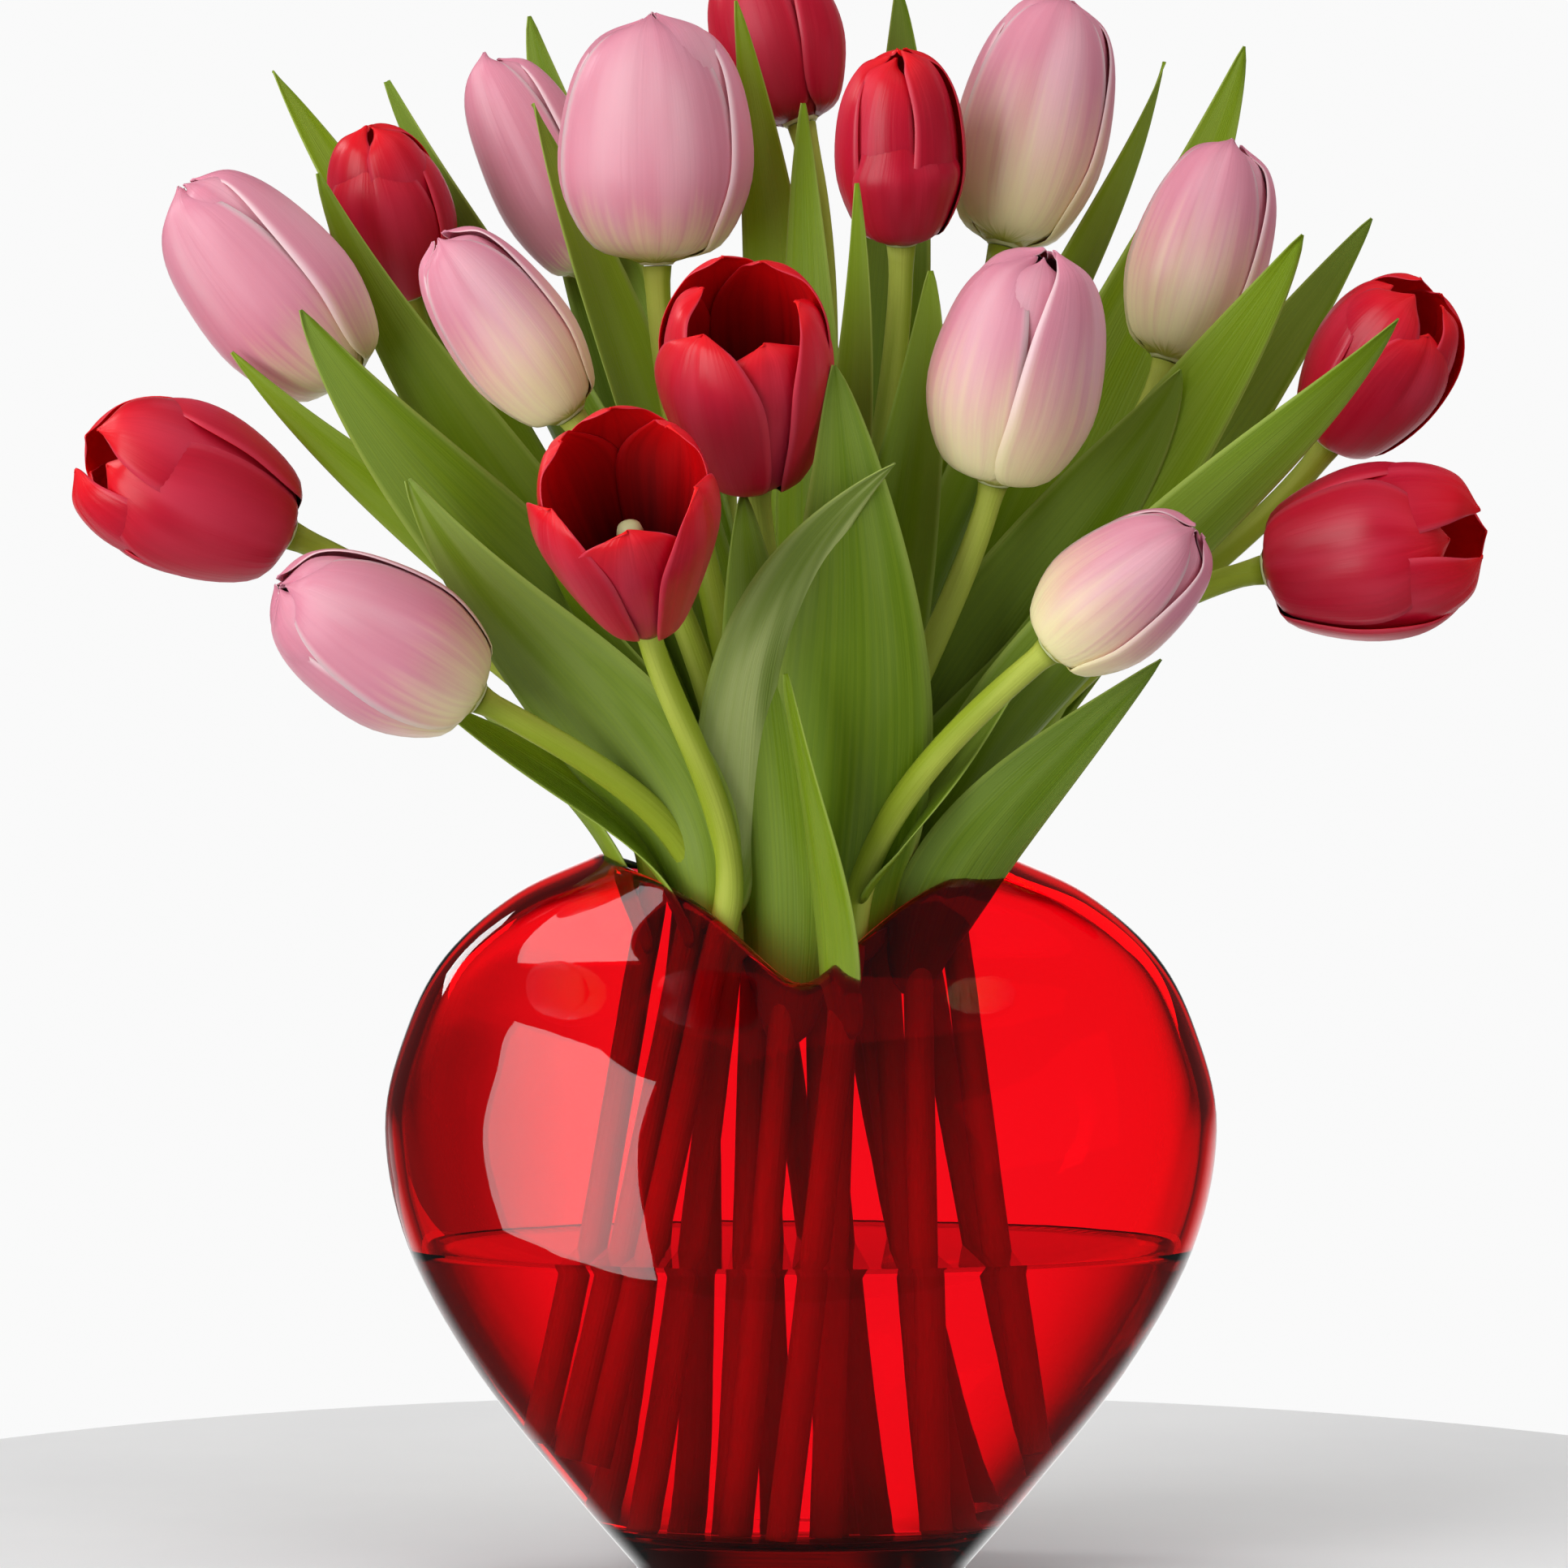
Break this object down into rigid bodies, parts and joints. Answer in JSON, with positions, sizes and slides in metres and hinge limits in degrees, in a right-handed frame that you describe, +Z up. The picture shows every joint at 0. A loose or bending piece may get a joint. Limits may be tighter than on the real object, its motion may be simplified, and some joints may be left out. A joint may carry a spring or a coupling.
{
  "type": "tulips in a vase",
  "caption": "Bunch of cut red and pink tulips with long green leaves, fanned out in a heart-shaped vase of see-through red glass that holds water.",
  "frame": {"origin": "centre of the vase's flat underside", "axes": "+Z up, -Y to the front, from which the vase is heart-shaped, +X to the right seen from the front"},
  "size_m": [0.3244, 0.1965, 0.3805],
  "materials": {
    "red_glass": "polished",
    "water": "polished",
    "stem_and_leaf": "satin",
    "red_petal": "satin",
    "pink_petal": "satin"
  },
  "bodies": {
    "root": {"vase": "red_glass", "water": "water", "tulip_01_stem": "stem_and_leaf", "tulip_02_stem": "stem_and_leaf", "tulip_03_stem": "stem_and_leaf", "tulip_04_stem": "stem_and_leaf", "tulip_05_stem": "stem_and_leaf", "tulip_06_stem": "stem_and_leaf", "tulip_07_stem": "stem_and_leaf", "tulip_08_stem": "stem_and_leaf", "tulip_09_stem": "stem_and_leaf", "tulip_10_stem": "stem_and_leaf", "tulip_11_stem": "stem_and_leaf", "tulip_12_stem": "stem_and_leaf", "tulip_13_stem": "stem_and_leaf", "tulip_14_stem": "stem_and_leaf", "tulip_15_stem": "stem_and_leaf", "tulip_16_stem": "stem_and_leaf", "tulip_17_stem": "stem_and_leaf", "tulip_18_stem": "stem_and_leaf", "tulip_19_stem": "stem_and_leaf", "tulip_20_stem": "stem_and_leaf", "tulip_01_bloom": "red_petal", "tulip_02_bloom": "pink_petal", "tulip_03_bloom": "pink_petal", "tulip_04_bloom": "red_petal", "tulip_05_bloom": "pink_petal", "tulip_06_bloom": "pink_petal", "tulip_07_bloom": "pink_petal", "tulip_08_bloom": "red_petal", "tulip_09_bloom": "red_petal", "tulip_10_bloom": "red_petal", "tulip_11_bloom": "red_petal", "tulip_12_bloom": "pink_petal", "tulip_13_bloom": "pink_petal", "tulip_14_bloom": "pink_petal", "tulip_15_bloom": "red_petal", "tulip_16_bloom": "red_petal", "tulip_17_bloom": "pink_petal", "tulip_18_bloom": "red_petal", "tulip_19_bloom": "red_petal", "tulip_20_bloom": "pink_petal"}
  },
  "joints": []
}
